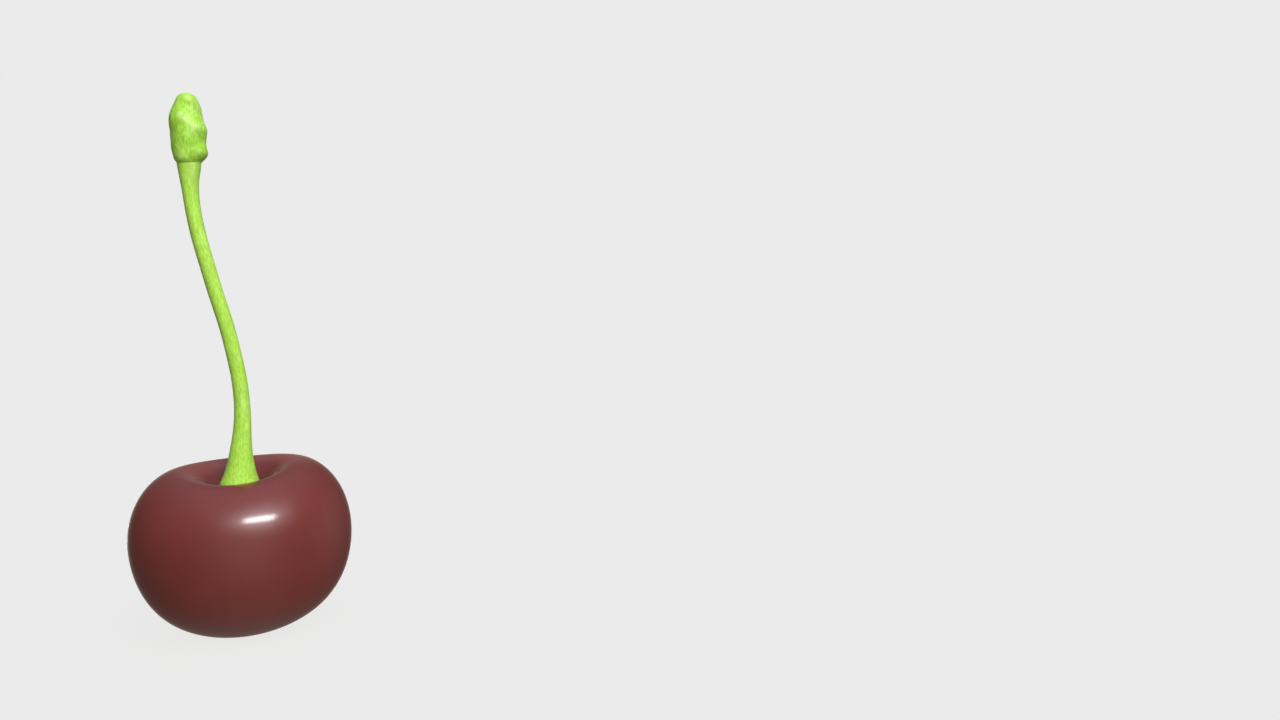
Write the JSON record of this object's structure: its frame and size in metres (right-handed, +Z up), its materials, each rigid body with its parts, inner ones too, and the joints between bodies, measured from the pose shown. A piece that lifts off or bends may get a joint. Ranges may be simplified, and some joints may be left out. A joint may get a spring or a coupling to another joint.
{
  "type": "cherry",
  "caption": "Fresh sweet cherry with a dimpled crown, a slender curved stem and the small lumpy spur knob the stem grew from, resting on its base.",
  "frame": {"origin": "middle of the small flat spot that the fruit rests on", "axes": "+Z up along the stem, +X to the right and +Y away for someone who faces the lower front shoulder"},
  "size_m": [0.0262, 0.0226, 0.0684],
  "materials": {
    "ripe_skin": "glossy, dark red ripe skin",
    "green_stem": "matte, lime green with fine lengthwise fibres",
    "spur_bark": "matte, lime green, lumpy with fine fibres"
  },
  "bodies": {
    "root": {"fruit": "ripe_skin", "stem": "green_stem", "spur_knob": "spur_bark"}
  },
  "joints": []
}
